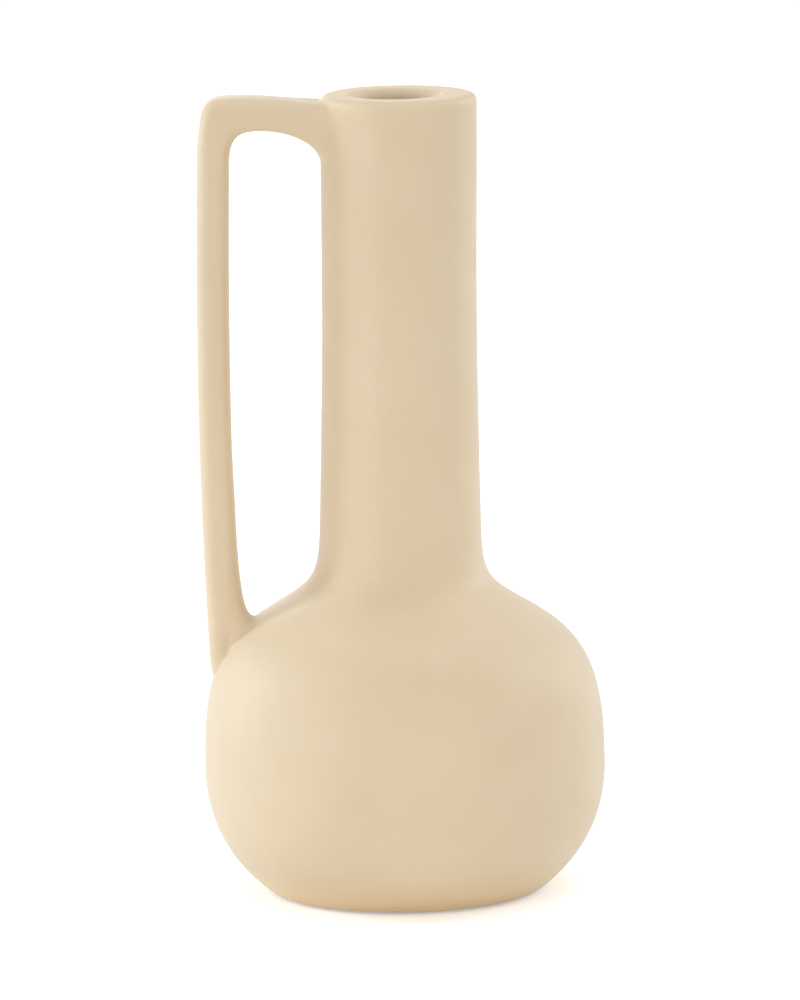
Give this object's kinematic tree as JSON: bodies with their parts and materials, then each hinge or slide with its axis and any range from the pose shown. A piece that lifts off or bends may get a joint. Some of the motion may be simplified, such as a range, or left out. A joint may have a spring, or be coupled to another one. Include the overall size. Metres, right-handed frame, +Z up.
{
  "type": "handled stoneware vase",
  "caption": "Round-bellied stoneware bottle vase with a long straight neck, closed-in lip and a square-shouldered strap handle from lip to shoulder.",
  "frame": {"origin": "centre of the foot, at the surface the vase stands on", "axes": "+Z up along the neck, handle towards -X"},
  "size_m": [0.1502, 0.1502, 0.3],
  "materials": {
    "matt_cream_glaze": "satin-matt cream glaze with faint mottling",
    "bare_fired_clay": "bare fired stoneware, dry and slightly grainy"
  },
  "bodies": {
    "root": {"bowl_body": "matt_cream_glaze", "neck_tube": "matt_cream_glaze", "neck_joint_coil": "matt_cream_glaze", "lip_ring": "matt_cream_glaze", "handle": "matt_cream_glaze", "handle_top_coil": "matt_cream_glaze", "handle_foot_coil": "matt_cream_glaze", "foot_ring": "bare_fired_clay"}
  },
  "joints": []
}
